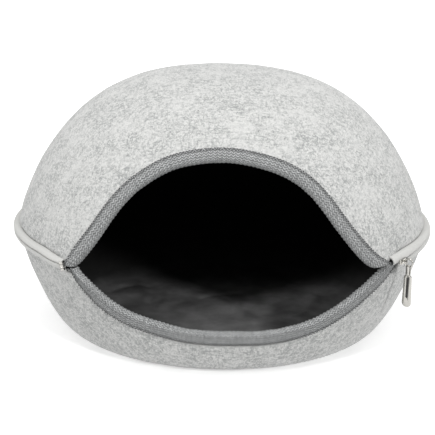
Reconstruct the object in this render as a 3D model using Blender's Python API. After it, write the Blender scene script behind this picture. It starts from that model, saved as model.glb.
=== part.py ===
"""Felt cat cave: two felt halves joined by a zip, with a bound, eye-shaped mouth at the front.

Run it with: blender --background --python part.py
Metres, +Z up, front towards -Y. The flat base lies on z = 0.
"""
import math

import bmesh
import bpy
import numpy as np

MM = 0.001
DEGREE = math.pi / 180

# Overall form
HALF_WIDTH = 0.224
HALF_DEPTH = 0.215
DOME_HEIGHT = 0.170
BOWL_DEPTH = 0.115

# Side profile: (radius share) ** ACROSS + (height share) ** UP = 1
DOME_ACROSS, DOME_UP = 2.87, 1.39
BOWL_ACROSS, BOWL_UP = 3.7, 1.2
BOWL_STEEPNESS = 1.5        # how fast the bowl drops before its base rounds off
BASE_SHARE = 0.60           # radius of the flat base as a share of the full radius
BASE_ROUNDING = 12          # a higher power gives a tighter base corner

# Cloth
FELT = 3.5 * MM
LINING = 1.0 * MM
GAP = 0.3 * MM
LINING_SLACK = 4.0 * MM     # how far the loose lining stands off the felt at most
SLACK_START = 32 * MM       # the lining lies close within this distance of an edge
SLACK_FULL = 75 * MM

# Binding folded over the mouth's edge
BINDING = 1.2 * MM
BINDING_LEG = 10.6 * MM
LIP_ROLL = 3.0 * MM         # how far the fold stands in front of the cut edge
OUTER_EASE = 0.3 * MM       # extra room between the felt and the binding's outer leg
INNER_EASE = 0.8 * MM       # extra room between the lining and the binding's inner leg

# Zip
ZIP_EDGE = 1.5 * MM         # from the closure line to each felt edge
ZIP_REACH = 7.0 * MM        # from the closure line to each tape's seam
ZIP_RISE = 6.0 * MM         # how far the closed tapes stand off the felt
ZIP_FLAT = 0.6              # share of that lost where the zip ends, at the left corner
ZIP_FLAT_AT, ZIP_FLAT_SPREAD = -45.5, 3.0
DRAWN_IN = 0.45             # share by which the lower binding's left end is narrower
ZIP_TAPE = 1.2 * MM
UPPER_TAPE_ENDS = (-46.4, 49.4)     # left and right end, degrees from the front
LOWER_TAPE_ENDS = (-44.6, 54.4)

# The zip line dips towards the two corners of the mouth
DIP_LEFT = 5.0 * MM
DIP_RIGHT = 3.0 * MM
DIP_SPREAD = 25 * MM
DIP_FULL, DIP_NONE = 45.0, 58.0     # degrees from the front

# Cut edge of each half: degrees from the front, millimetres over the zip line
UPPER_LIP = (
    (-43.1, 1.5), (-40.4, 11.3), (-36.0, 32.3), (-31.0, 63.6), (-26.0, 83.2),
    (-18.0, 100.0), (-8.0, 107.5), (2.0, 108.4), (12.0, 102.6), (20.0, 91.9),
    (26.0, 74.1), (32.0, 40.8), (36.5, 19.7), (41.5, 3.9), (46.0, 1.5),
)
LOWER_LIP = (
    (-42.2, -1.5), (-40.4, -9.7), (-37.2, -21.7), (-33.5, -35.3), (-28.0, -45.9),
    (-20.0, -53.7), (-10.0, -60.4), (2.0, -61.8), (12.0, -61.9), (20.0, -58.4),
    (27.0, -51.4), (34.0, -38.7), (40.5, -21.5), (44.0, -11.6), (47.6, -1.5),
)

# Mesh density
LIP_STEPS = 24
BACK_STEPS = 23
CORNER_STEP = 3.5           # degrees, for the two columns beside each corner
DOME_ROWS = 7
BOWL_ROWS = 5
EDGE_ROWS = (0, 7 * MM, 14 * MM, 27 * MM)      # the short rows beside an edge

# Metal parts
SLIDER_AZIMUTH = 50.6
SLIDER_SIZE = (11.0 * MM, 1.8 * MM, 8.0 * MM)       # along the zip, thick, high
BRIDGE_LENGTH = 7.6 * MM
BRIDGE_RISE = 4.5 * MM
BRIDGE_WALL = 1.5 * MM
BRIDGE_WIDTH = 2.4 * MM
BRIDGE_FOOT = 0.5 * MM      # how far the bridge is sunk into the plate
RING_RADIUS = 4.4 * MM
RING_WIRE = 0.8 * MM
LOOP_WIDTH = 4.4 * MM
LOOP_THICKNESS = 4.2 * MM
LOOP_WALL = 0.9 * MM
LOOP_HOLE = 9.5 * MM
TAB_LENGTH = 34.0 * MM
TAB_TOP_WIDTH = 8.2 * MM
TAB_END_WIDTH = 10.2 * MM
TAB_THICKNESS = 1.6 * MM
TAB_SLOT = (2.0 * MM, 19.0 * MM)
TAB_BAR = 3.0 * MM          # solid metal between the tab's top and its slot
TAB_OVERLAP = 1.5 * MM      # how far the loop is sunk into the tab
TAB_END_ROUND = 3.6 * MM
STOP_AZIMUTH = -45.2
STOP_SIZE = (5.0 * MM, 2.0 * MM, 9.0 * MM)

ZIP_HEIGHT = BOWL_DEPTH     # height of the closure line over the base

# The ring rests against the bridge's outer bar
RING_OUT = (GAP + SLIDER_SIZE[1] + BRIDGE_RISE - BRIDGE_WALL - GAP - RING_WIRE) + RING_RADIUS


# ---------------------------------------------------------------- cloth surface

def soft_limit(value):
    """Rises in step with the value, then rounds off at 1."""
    return (value ** -BASE_ROUNDING + 1) ** (-1 / BASE_ROUNDING)


BASE_DEPTH_SHARE = (1 - BASE_SHARE ** BOWL_ACROSS) ** (1 / BOWL_UP)
BASE_LIMIT = soft_limit(BOWL_STEEPNESS * BASE_DEPTH_SHARE)


def radius_share(height):
    """Share of the full radius at a height over the zip line, negative in the bowl."""
    above = np.clip(height / DOME_HEIGHT, 0, 1)
    dome = (1 - above ** DOME_UP) ** (1 / DOME_ACROSS)
    below = np.clip(-height / BOWL_DEPTH, 1e-6, 1) * BASE_LIMIT
    depth = (below ** -BASE_ROUNDING - 1) ** (-1 / BASE_ROUNDING) / BOWL_STEEPNESS
    bowl = (1 - np.clip(depth, 0, 1) ** BOWL_UP) ** (1 / BOWL_ACROSS)
    return np.where(height >= 0, dome, bowl)


def on_plan(azimuth, share, height):
    """Point at an azimuth from the front and a share of the radius."""
    across = HALF_WIDTH * share * np.sin(azimuth)
    along = -HALF_DEPTH * share * np.cos(azimuth)
    return np.stack(np.broadcast_arrays(across, along, height), axis=-1)


def wall(azimuth, height):
    """Point on the felt's outer face."""
    return on_plan(azimuth, radius_share(height), height)


def slopes(azimuth, height):
    """Change of the wall point per radian round and per metre of height."""
    turn = 1e-4
    round_step = (wall(azimuth + turn, height) - wall(azimuth - turn, height)) / (2 * turn)
    nearer = height * (1 - 1e-4)
    rise = (wall(azimuth, height) - wall(azimuth, nearer)) / (height - nearer)[..., None]
    return round_step, rise


def unit(vectors):
    return vectors / np.linalg.norm(vectors, axis=-1, keepdims=True)


def outward(azimuth, height):
    """Outward normal of the wall; straight down from the rim of the flat base."""
    round_step, rise = slopes(azimuth, height)
    normal = unit(np.cross(round_step, rise))
    on_base = (height <= -BOWL_DEPTH * (1 - 1e-9))[..., None]
    return np.where(on_base, (0.0, 0.0, -1.0), normal)


def smooth_ramp(value):
    value = np.clip(value, 0, 1)
    return value * value * (3 - 2 * value)


def settle(points):
    """Dips the zip line at the mouth's corners and raises the part onto z = 0."""
    x, y, z = np.moveaxis(points, -1, 0)
    turn = np.degrees(np.arctan2(x, -y))
    depth = np.where(turn < 0, DIP_LEFT, DIP_RIGHT)
    near = 1 - smooth_ramp((abs(turn) - DIP_FULL) / (DIP_NONE - DIP_FULL))
    dip = depth * near * np.exp(-(z / DIP_SPREAD) ** 2)
    return np.stack((x, y, z - dip + ZIP_HEIGHT), axis=-1)


def place(azimuth, height, out):
    """Settled point at a distance out from the felt's outer face."""
    azimuth, height = np.broadcast_arrays(np.asarray(azimuth, float), np.asarray(height, float))
    out = np.asarray(out, float)
    return settle(wall(azimuth, height) + outward(azimuth, height) * out[..., None])


# ---------------------------------------------------------------- mesh building

def material(name, colour, roughness, metallic=0.0):
    result = bpy.data.materials.new(name)
    result.use_nodes = True
    shader = result.node_tree.nodes["Principled BSDF"]
    shader.inputs["Base Color"].default_value = (*colour, 1.0)
    shader.inputs["Roughness"].default_value = roughness
    shader.inputs["Metallic"].default_value = metallic
    return result


def add_object(name, points, faces, look):
    """Closed mesh object with outward faces, smooth where it is round."""
    mesh = bpy.data.meshes.new(name)
    mesh.from_pydata([tuple(point) for point in points], [], faces)
    work = bmesh.new()
    work.from_mesh(mesh)
    bmesh.ops.recalc_face_normals(work, faces=work.faces)
    work.to_mesh(mesh)
    work.free()
    mesh.shade_smooth()
    mesh.set_sharp_from_angle(angle=40 * DEGREE)
    mesh.materials.append(look)
    result = bpy.data.objects.new(name, mesh)
    bpy.context.scene.collection.objects.link(result)
    return result


def sheet(name, outer, inner, look, closed=False, poles=None):
    """Solid cloth between two grids of points, [along, across].

    A closed sheet runs right round. Its last row then ends in a pole on each
    face, or in one flat cap where no poles are given.
    """
    along, across = outer.shape[:2]
    inner_start = along * across
    points = [*outer.reshape(-1, 3), *inner.reshape(-1, 3)]
    steps = range(along if closed else along - 1)

    def at(column, row, face):
        return face * inner_start + (column % along) * across + row

    faces = []
    for column in steps:
        for row in range(across - 1):
            for face in (0, 1):
                faces.append((at(column, row, face), at(column + 1, row, face),
                              at(column + 1, row + 1, face), at(column, row + 1, face)))
    edge_rows = (0,) if closed else (0, across - 1)
    for row in edge_rows:
        for column in steps:
            faces.append((at(column, row, 0), at(column + 1, row, 0),
                          at(column + 1, row, 1), at(column, row, 1)))
    if not closed:
        for column in (0, along - 1):
            for row in range(across - 1):
                faces.append((at(column, row, 0), at(column, row + 1, 0),
                              at(column, row + 1, 1), at(column, row, 1)))
    elif poles is None:
        for face in (0, 1):
            faces.append(tuple(at(column, across - 1, face) for column in range(along)))
    else:
        for face in (0, 1):
            points.append(poles[face])
            pole = len(points) - 1
            for column in steps:
                faces.append((at(column, across - 1, face), at(column + 1, across - 1, face), pole))
    return add_object(name, points, faces, look)


# ---------------------------------------------------------------- edges and rows

def curve_through(table, count):
    """Points at even steps along a smooth curve through a table of points."""
    knots = np.array(table, float)
    knots = np.vstack((2 * knots[0] - knots[1], knots, 2 * knots[-1] - knots[-2]))
    fine = []
    for before, start, end, after in zip(knots, knots[1:], knots[2:], knots[3:]):
        t = np.linspace(0, 1, 20, endpoint=False)[:, None]
        fine.append(0.5 * (2 * start + (end - before) * t
                           + (2 * before - 5 * start + 4 * end - after) * t ** 2
                           + (3 * start - before - 3 * end + after) * t ** 3))
    fine = np.vstack((*fine, knots[-2:-1]))
    azimuth, height = fine[:, 0] * DEGREE, fine[:, 1] * MM
    length = path_length(wall(azimuth, height))
    even = np.linspace(0, length[-1], count + 1)
    return np.interp(even, length, azimuth), np.interp(even, length, height)


def path_length(points):
    steps = np.linalg.norm(np.diff(points, axis=0), axis=-1)
    return np.concatenate(((0.0,), np.cumsum(steps)))


def back_columns(lip):
    """Azimuths from the lip's right end round the back to its left end, closer at the ends."""
    first, last = lip[-1][0] + CORNER_STEP, lip[0][0] + 360 - CORNER_STEP
    middle = np.linspace(first + CORNER_STEP, last - CORNER_STEP, BACK_STEPS)
    return np.array((first, *middle, last)) * DEGREE


def half_edge(lip, side):
    """Azimuth and height of a half's edge: along the lip, then round the zip line."""
    azimuth, height = curve_through(lip, LIP_STEPS)
    back = back_columns(lip)
    zip_line = np.full(len(back), side * ZIP_EDGE)
    return np.concatenate((azimuth, back)), np.concatenate((height, zip_line))


def rows_down(azimuth, start, end, rows):
    """Heights down one column and their distances from the edge, even after the short rows."""
    blend = np.linspace(0, 1, 400)
    if end > 0:
        first = math.asin((start / end) ** (DOME_UP / 2))
        heights = end * np.sin(first + (math.pi / 2 - first) * blend) ** (2 / DOME_UP)
    else:
        heights = start + (end - start) * (1 - (1 - blend) ** 3)
    length = path_length(wall(azimuth, heights))
    even = np.linspace(EDGE_ROWS[-1], length[-1], rows + 1)[1:]
    distance = np.concatenate((EDGE_ROWS, even))
    return np.interp(distance, length, heights), distance


def slack(azimuth, distance, height):
    """Stand-off of the loose lining: a few broad, uneven swells."""
    free = smooth_ramp((distance - SLACK_START) / (SLACK_FULL - SLACK_START))
    swell = (0.55 + 0.25 * np.sin(3 * azimuth + 0.8 + 14 * height)
             + 0.20 * np.sin(7 * azimuth - 1.3 - 22 * height))
    return LINING_SLACK * free * swell


# ---------------------------------------------------------------- cloth pieces

def add_half(name, lip, side, felt_look, lining_look):
    """One felt half and its lining."""
    azimuth, edge = half_edge(lip, side)
    end, rows = (DOME_HEIGHT, DOME_ROWS) if side > 0 else (-BOWL_DEPTH, BOWL_ROWS)
    columns = [rows_down(a, start, end, rows) for a, start in zip(azimuth, edge)]
    height = np.array([column[0] for column in columns])
    distance = np.array([column[1] for column in columns])
    turn = np.repeat(azimuth[:, None], height.shape[1], axis=1)
    loose = slack(turn, distance, height)
    back = -(FELT + GAP)
    if side > 0:
        height, turn, loose = height[:, :-1], turn[:, :-1], loose[:, :-1]
        crown = [(0, 0, ZIP_HEIGHT + DOME_HEIGHT + out)
                 for out in (0, -FELT, back, back - LINING)]
        felt_poles, lining_poles = crown[:2], crown[2:]
    else:
        felt_poles = None
        lining_poles = [(0, 0, FELT + GAP + out) for out in (0, LINING)]
        loose[:, -1] = 0
    flat = np.zeros_like(height)
    sheet(f"{name}_shell", place(turn, height, flat), place(turn, height, flat - FELT),
          felt_look, closed=True, poles=felt_poles)
    sheet(f"{name}_lining", place(turn, height, back - loose),
          place(turn, height, back - LINING - loose), lining_look, closed=True,
          poles=lining_poles)


def walk(azimuth, height, direction, distance):
    """Goes a distance over the wall from each point, as straight as the wall allows."""
    azimuth, height = azimuth.copy(), height.copy()
    count = max(1, math.ceil(abs(distance) / (2 * MM)))
    for _ in range(count):
        round_step, rise = slopes(azimuth, height)
        basis = np.stack((round_step, rise), axis=-1)
        step = direction * distance / count
        change = np.linalg.pinv(basis) @ step[..., None]
        azimuth += change[:, 0, 0]
        height += change[:, 1, 0]
    return azimuth, height


def binding_section():
    """Matched outer and inner lines across the binding: distance from the cut edge, offset."""
    outside = GAP + OUTER_EASE + BINDING
    inside = -(FELT + LINING + 2 * GAP + BINDING + INNER_EASE)
    middle, half = (outside + inside) / 2, (outside - inside) / 2
    arc = np.linspace(0, 180, 7) * DEGREE
    lines = []
    for cut in (0, BINDING):
        roll = [(-(LIP_ROLL - cut) * math.sin(a), middle + (half - cut) * math.cos(a)) for a in arc]
        front = [(BINDING_LEG * share, outside - cut) for share in (1, 0.5)]
        rear = [(BINDING_LEG * share, inside + cut) for share in (0.5, 1)]
        lines.append([*front, *roll, *rear])
    return lines


def add_binding(name, lip, side, look):
    azimuth, height = curve_through(lip, LIP_STEPS)
    length = path_length(wall(azimuth, height))
    tangent = unit(np.gradient(wall(azimuth, height), length, axis=0))
    away = np.cross(outward(azimuth, height), tangent) * side
    # at the corners it runs on along the zip line, and its lower left end is drawn in
    ends = np.minimum(length, length[-1] - length) / (18 * MM)
    level = unit(slopes(azimuth, height)[0]) * np.sign(azimuth)[:, None]
    share = np.exp(-ends ** 2)[:, None]
    away = unit(away * (1 - share) + level * share)
    if side < 0:
        away = away * (1 - DRAWN_IN * share * (azimuth < 0)[:, None])
    grids = []
    for line in binding_section():
        columns = []
        for distance, out in line:
            turn, rise = walk(azimuth, height, away, distance)
            rise = side * np.maximum(side * rise, ZIP_EDGE / 2)
            columns.append(place(turn, rise, np.full(len(turn), out)))
        grids.append(np.stack(columns, axis=1))
    return sheet(name, *grids, look)


def zip_rise(azimuth):
    """Height of the closed tapes over the felt at an azimuth in radians."""
    near_end = ((np.asarray(azimuth) / DEGREE + 180) % 360 - 180 - ZIP_FLAT_AT) / ZIP_FLAT_SPREAD
    return ZIP_RISE * (1 - ZIP_FLAT * np.exp(-near_end ** 2))


def add_zip_tape(name, ends, lip, side, look):
    """Quarter-round tape from its seam on the felt up to the closure line."""
    last, first = (ends[0] + 360) * DEGREE, ends[1] * DEGREE
    shared = [turn for turn in back_columns(lip) if first < turn < last]
    turn = np.array((first, *shared, last))
    arc = np.linspace(0, 90, 6) * DEGREE
    grids = []
    for cut in (0, ZIP_TAPE):
        reach = np.maximum((ZIP_REACH - cut) * np.cos(arc), GAP / 2)
        rise = GAP + (zip_rise(turn)[:, None] - cut) * np.sin(arc)[None, :]
        grids.append(place(turn[:, None], side * reach[None, :], rise))
    return sheet(name, *grids, look)


# ---------------------------------------------------------------- metal pieces

def crest_frame(azimuth_degrees):
    """Closure-line point of the zip and the turn that points local -Y outwards."""
    azimuth = azimuth_degrees * DEGREE
    crest = place(azimuth, GAP / 2, GAP + float(zip_rise(azimuth)))
    turn = math.atan2(math.sin(azimuth) / HALF_WIDTH, math.cos(azimuth) / HALF_DEPTH)
    return crest, turn


def moved_out(crest, turn, distance, drop=0.0):
    return (crest[0] + distance * math.sin(turn), crest[1] - distance * math.cos(turn),
            crest[2] - drop)


def block(size, centre=(0, 0, 0)):
    """Corner points and faces of a box."""
    points = [tuple(c + s * k / 2 for c, s, k in zip(centre, size, (i, j, k)))
              for i in (-1, 1) for j in (-1, 1) for k in (-1, 1)]
    faces = [(0, 1, 3, 2), (4, 6, 7, 5), (0, 4, 5, 1), (2, 3, 7, 6), (0, 2, 6, 4), (1, 5, 7, 3)]
    return points, faces


def prism(outline, hole, depth, axes):
    """Plate between two faces of an outline with one hole, both with equal point counts.

    axes names, for (first, second, depth), the local axis that each one runs along.
    """
    count = len(outline)
    points = []
    for level in (-depth / 2, depth / 2):
        for ring in (outline, hole):
            for first, second in ring:
                point = [0.0, 0.0, 0.0]
                for axis, value in zip(axes, (first, second, level)):
                    point[axis] = value
                points.append(tuple(point))
    faces = []
    for k in range(count):
        n = (k + 1) % count
        outer_low, hole_low, outer_high, hole_high = (ring * count for ring in range(4))
        faces.append((outer_low + k, outer_low + n, hole_low + n, hole_low + k))
        faces.append((outer_high + k, outer_high + n, hole_high + n, hole_high + k))
        faces.append((outer_low + k, outer_low + n, outer_high + n, outer_high + k))
        faces.append((hole_low + k, hole_low + n, hole_high + n, hole_high + k))
    return points, faces


def rounded_box(width, height, radius, centre=(0, 0), steps=4, end_width=None):
    """Outline of a rounded box; end_width widens or narrows its lower end."""
    end_width = end_width or width
    outline = []
    for corner, (sx, sy) in enumerate(((1, 1), (-1, 1), (-1, -1), (1, -1))):
        half = (width if sy > 0 else end_width) / 2
        for k in range(steps + 1):
            angle = (corner + k / steps) * math.pi / 2
            outline.append((centre[0] + sx * (half - radius) + radius * math.cos(angle),
                            centre[1] + sy * (height / 2 - radius) + radius * math.sin(angle)))
    return outline


def soften(target, width):
    bevel = target.modifiers.new("Softened edges", "BEVEL")
    bevel.width = width
    bevel.segments = 2
    bevel.limit_method = "ANGLE"
    bevel.angle_limit = 50 * DEGREE


def fuse(target, other):
    """Joins another closed form to the target, which keeps one skin."""
    other.hide_render = True
    other.display_type = "WIRE"
    other.parent = target
    join = target.modifiers.new("Joined form", "BOOLEAN")
    join.operation = "UNION"
    join.solver = "EXACT"
    join.object = other


def add_slider(crest, turn, look):
    """Plate on the zip's crest with a bridge for the ring."""
    plate = add_object("zip_slider", *block(SLIDER_SIZE), look)
    soften(plate, 0.7 * MM)
    plate.location = moved_out(crest, turn, GAP + SLIDER_SIZE[1] / 2)
    plate.rotation_euler = (0, 0, turn)
    foot = -SLIDER_SIZE[1] / 2 + BRIDGE_FOOT
    rise = BRIDGE_RISE + BRIDGE_FOOT
    outline = rounded_box(BRIDGE_LENGTH, rise, 1.6 * MM, (0, foot - rise / 2))
    hole_rise = BRIDGE_RISE - BRIDGE_WALL
    hole = rounded_box(BRIDGE_LENGTH - 2 * BRIDGE_WALL, hole_rise, 0.9 * MM,
                       (0, -SLIDER_SIZE[1] / 2 - hole_rise / 2))
    fuse(plate, add_object("slider_bridge_form", *prism(outline, hole, BRIDGE_WIDTH, (0, 1, 2)), look))


def add_ring(crest, turn, look):
    """Round ring through the bridge, in the upright plane square to the zip."""
    bpy.ops.mesh.primitive_torus_add(
        major_radius=RING_RADIUS, minor_radius=RING_WIRE, major_segments=24, minor_segments=8,
        location=moved_out(crest, turn, RING_OUT), rotation=(0, math.pi / 2, turn))
    ring = bpy.context.object
    ring.name = "pull_ring"
    ring.data.materials.append(look)
    ring.data.shade_smooth()


def add_pull(crest, turn, look):
    """Slotted tab that hangs from the ring by a loop of its own."""
    ring_rise = RING_RADIUS - math.sqrt(RING_RADIUS ** 2 - (LOOP_WIDTH / 2) ** 2)
    loop_top = -RING_RADIUS + RING_WIRE + ring_rise + GAP
    loop_height = LOOP_HOLE + 2 * LOOP_WALL + TAB_OVERLAP
    loop_middle = loop_top + LOOP_WALL - loop_height / 2
    outer = rounded_box(LOOP_THICKNESS, loop_height, 1.4 * MM, (0, loop_middle))
    inner = rounded_box(LOOP_THICKNESS - 2 * LOOP_WALL, LOOP_HOLE, 0.8 * MM,
                        (0, loop_top - LOOP_HOLE / 2))
    loop = add_object("pull_loop_form", *prism(outer, inner, LOOP_WIDTH, (0, 2, 1)), look)

    tab_top = loop_middle - loop_height / 2 + TAB_OVERLAP
    outline = rounded_box(TAB_TOP_WIDTH, TAB_LENGTH, TAB_END_ROUND, (0, tab_top - TAB_LENGTH / 2),
                          end_width=TAB_END_WIDTH)
    slot_width, slot_length = TAB_SLOT
    slot = rounded_box(slot_width, slot_length, 0.48 * slot_width,
                       (0, tab_top - TAB_BAR - slot_length / 2))
    tab = add_object("pull_tab", *prism(outline, slot, TAB_THICKNESS, (1, 2, 0)), look)
    fuse(tab, loop)
    tab.location = moved_out(crest, turn, RING_OUT)
    tab.rotation_euler = (0, 0, turn)


def add_end_stop(look):
    """Small clamp where the zip ends at the mouth's left corner."""
    crest, turn = crest_frame(STOP_AZIMUTH)
    stop = add_object("zip_end_stop", *block(STOP_SIZE), look)
    soften(stop, 0.8 * MM)
    stop.location = moved_out(crest, turn, GAP + STOP_SIZE[1] / 2)
    stop.rotation_euler = (0, 0, turn)


def clear_scene():
    for item in list(bpy.context.scene.objects):
        bpy.data.objects.remove(item, do_unlink=True)


def main():
    clear_scene()
    felt = material("Light grey wool felt", (0.60, 0.60, 0.60), 0.95)
    lining = material("Black lining cloth", (0.02, 0.02, 0.02), 0.85)
    binding = material("Grey knitted binding tape", (0.28, 0.28, 0.28), 0.9)
    tape = material("Pale grey zip tape", (0.58, 0.58, 0.57), 0.7)
    nickel = material("Bright nickel plate", (0.75, 0.75, 0.74), 0.2, 1.0)

    add_half("upper", UPPER_LIP, 1, felt, lining)
    add_half("lower", LOWER_LIP, -1, felt, lining)
    add_binding("upper_binding", UPPER_LIP, 1, binding)
    add_binding("lower_binding", LOWER_LIP, -1, binding)
    add_zip_tape("upper_zip_tape", UPPER_TAPE_ENDS, UPPER_LIP, 1, tape)
    add_zip_tape("lower_zip_tape", LOWER_TAPE_ENDS, LOWER_LIP, -1, tape)

    crest, turn = crest_frame(SLIDER_AZIMUTH)
    add_slider(crest, turn, nickel)
    add_ring(crest, turn, nickel)
    add_pull(crest, turn, nickel)
    add_end_stop(nickel)


main()
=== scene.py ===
"""Looks of the felt cat cave: felt halves, linings, bindings, zip and metal, with a studio.

Laid out as an add-on: each operator builds one piece, or one group of like pieces,
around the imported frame. Metres, +Z up, front towards -Y.
"""
import math

import bmesh
import bpy
import numpy as np
from bpy.props import FloatProperty, FloatVectorProperty, IntProperty, PointerProperty
from mathutils import Matrix, Vector, noise


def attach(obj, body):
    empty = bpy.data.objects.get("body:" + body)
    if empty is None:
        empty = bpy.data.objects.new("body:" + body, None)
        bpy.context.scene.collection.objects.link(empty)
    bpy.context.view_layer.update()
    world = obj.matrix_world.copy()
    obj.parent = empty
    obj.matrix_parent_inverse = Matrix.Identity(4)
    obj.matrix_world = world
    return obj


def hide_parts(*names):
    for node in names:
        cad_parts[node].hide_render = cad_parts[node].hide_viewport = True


bl_info = {
    "name": "Felt cat cave",
    "version": (1, 0, 0),
    "blender": (4, 5, 0),
    "location": "3D View > Sidebar > Cat cave",
    "description": "Builds the looks of a zipped felt cat cave",
    "category": "Object",
}

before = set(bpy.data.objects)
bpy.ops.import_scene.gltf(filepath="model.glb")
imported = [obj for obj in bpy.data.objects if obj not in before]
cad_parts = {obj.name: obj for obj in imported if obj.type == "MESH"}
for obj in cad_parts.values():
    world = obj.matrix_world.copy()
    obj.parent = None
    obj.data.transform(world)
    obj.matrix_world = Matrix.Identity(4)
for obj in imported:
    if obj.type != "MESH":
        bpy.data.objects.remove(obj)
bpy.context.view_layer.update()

MM = 0.001
DEGREE = math.pi / 180

# Overall form, the same as the frame's
HALF_WIDTH = 0.224
HALF_DEPTH = 0.215
DOME_HEIGHT = 0.170
BOWL_DEPTH = 0.115
DOME_ACROSS, DOME_UP = 2.87, 1.39
BOWL_ACROSS, BOWL_UP = 3.7, 1.2
BOWL_STEEPNESS = 1.5
BASE_SHARE = 0.60
BASE_ROUNDING = 12
ZIP_HEIGHT = BOWL_DEPTH

# Cloth
FELT = 3.5 * MM
LINING = 1.0 * MM
GAP = 0.3 * MM
BINDING = 1.2 * MM
BINDING_LEG = 10.6 * MM
LIP_ROLL = 3.0 * MM
OUTER_EASE = 0.3 * MM
INNER_EASE = 0.8 * MM

# Zip
ZIP_RISE = 6.0 * MM
ZIP_FLAT = 0.6              # share of that lost where the zip ends, at the left corner
ZIP_FLAT_AT, ZIP_FLAT_SPREAD = -45.5, 3.0
ZIP_TAPE = 1.2 * MM
CLOSURE_RISE = 2.2 * MM     # the closed edges ride this far up at the cave's right side
TAPE_SINK = 1.7 * MM        # the tape's seam lies this far under the felt's face
FELT_ROUND = 2.6 * MM       # reach of the felt's rounded edge beside the tape
FELT_DROP = 1.2 * MM        # how far that edge turns in
LINING_EDGE = 0.4 * MM
UPPER_TAPE_ENDS = (-46.0, 47.4)
LOWER_TAPE_ENDS = (-44.7, 54.4)
DRAWN_IN = 0.72             # share by which the lower binding's left end is narrower
END_CLEARANCE = 0.4 * MM    # from the zip line to the bindings' ends
# mesh columns along one chevron; 11 takes each binding past 200,000 triangles, 9 wouldn't
CHEVRON_COLUMNS = 11
LOOP_MIX = (12.9898, 78.233, 43758.5453)    # scrambles leg and row into a loop's own height

# The zip line dips towards the mouth's corners
DIP_LEFT = 5.0 * MM
DIP_RIGHT = 3.0 * MM
DIP_SPREAD = 25 * MM
DIP_FULL, DIP_NONE = 45.0, 58.0

# Cut edge of each half: degrees from the front, millimetres over the zip line.
# The heights and the outermost degrees are a fit's output, not chosen by hand
UPPER_LIP = (
    (-43.1, 1.5), (-40.4, 11.3), (-36.0, 32.3), (-31.0, 63.6), (-26.0, 83.2),
    (-18.0, 100.0), (-8.0, 107.5), (2.0, 108.4), (12.0, 102.6), (20.0, 91.9),
    (26.0, 74.1), (32.0, 40.8), (36.5, 19.7), (41.5, 3.9), (46.0, 1.5),
)
LOWER_LIP = (
    (-42.2, -1.5), (-40.4, -9.7), (-37.2, -21.7), (-33.5, -35.3), (-28.0, -45.9),
    (-20.0, -53.7), (-10.0, -60.4), (2.0, -61.8), (12.0, -61.9), (20.0, -58.4),
    (27.0, -51.4), (34.0, -38.7), (40.5, -21.5), (44.0, -11.6), (47.6, -1.5),
)
CORNER_STEP = 0.5           # degrees between the columns beside a corner
CORNER_COLUMNS = 12

# The bowl's felt is nipped in beside each corner, which leaves a dark pocket: degrees
# beyond the lip's end, half-width in degrees, depth
RIGHT_POCKET = (3.2, 1.5, 14.0 * MM)
LEFT_POCKET = (1.6, 1.0, 6.5 * MM)

# Folds of the bowl's lining: height and half-width in millimetres, negative for a trough,
# then the line that it follows, in millimetres. Nearly half of the points are a ray
# cast's output, not chosen by hand
LINING_SLACK = 4.0 * MM
LINING_FOLDS = (
    (1.8, 4.0, ((-156, 106, 41), (-139, 124, 40), (-121, 136, 34))),
    (-1.6, 3.0, ((-152, 108, 35), (-135, 124, 33), (-118, 134, 29))),
    (1.6, 3.5, ((-128, 124, 30), (-111, 140, 28), (-96, 145, 23))),
    (1.4, 4.5, ((-150, 102, 27), (-132, 116, 20), (-111, 128, 17))),
    (-1.8, 3.0, ((-150, 98, 20), (-130, 112, 15), (-112, 122, 13))),
    (1.2, 4.0, ((-113, 131, 19), (-101, 138, 19), (-86, 138, 14))),
    (-2.4, 6.0, ((-130, 60, 8), (-115, 82, 6), (-101, 87, 5), (-86, 78, 5))),
    (2.2, 5.5, ((-98, 92, 5), (-95, 76, 5), (-88, 60, 5), (-85, 44, 5))),
    (1.0, 5.0, ((-65, 70, 5), (-63, 36, 5), (-70, 8, 5))),
    (-1.2, 5.0, ((-83, 58, 5), (-82, 24, 5))),
    (1.7, 9.0, ((-44, 66, 5), (-24, 52, 5), (-7, 42, 5), (6, 26, 5), (20, 4, 5), (36, -26, 5))),
    (-1.6, 5.0, ((-20, 40, 5), (-9, 47, 5), (3, 55, 5), (22, 62, 5))),
    (1.4, 4.0, ((93, 142, 19), (100, 130, 15), (110, 134, 22))),
    (1.8, 4.0, ((137, 106, 18), (144, 96, 18), (148, 80, 15))),
    (-2.0, 4.0, ((99, 97, 6), (115, 105, 8), (123, 114, 16), (137, 112, 24))),
    (2.0, 6.0, ((116, 43, 5), (105, 2, 5), (89, -23, 5))),
)

# Metal parts
SLIDER_AZIMUTH = 50.6
STOP_AZIMUTH = -45.2
STOP_LEAN = 22
SLIDER_SIZE = (11.0 * MM, 1.8 * MM, 8.0 * MM)
BRIDGE_RISE = 4.5 * MM
BRIDGE_WALL = 1.5 * MM
RING_RADIUS = 4.4 * MM
RING_WIRE = 0.8 * MM
LOOP_WIDTH = 4.4 * MM
LOOP_WALL = 0.9 * MM
LOOP_HOLE = 9.5 * MM
TAB_LENGTH = 34.0 * MM
TAB_OVERLAP = 1.5 * MM
RING_OUT = (GAP + SLIDER_SIZE[1] + BRIDGE_RISE - BRIDGE_WALL - GAP - RING_WIRE) + RING_RADIUS

# Camera, fitted to the view
CAMERA_AZIMUTH = -1.5
CAMERA_ELEVATION = 16.18
CAMERA_ROLL = -1.0
CAMERA_DISTANCE = 1.3
CAMERA_LENS = 96.1
CAMERA_SHIFT = (-0.0107, 0.0049)


# ---------------------------------------------------------------- settings

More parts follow.
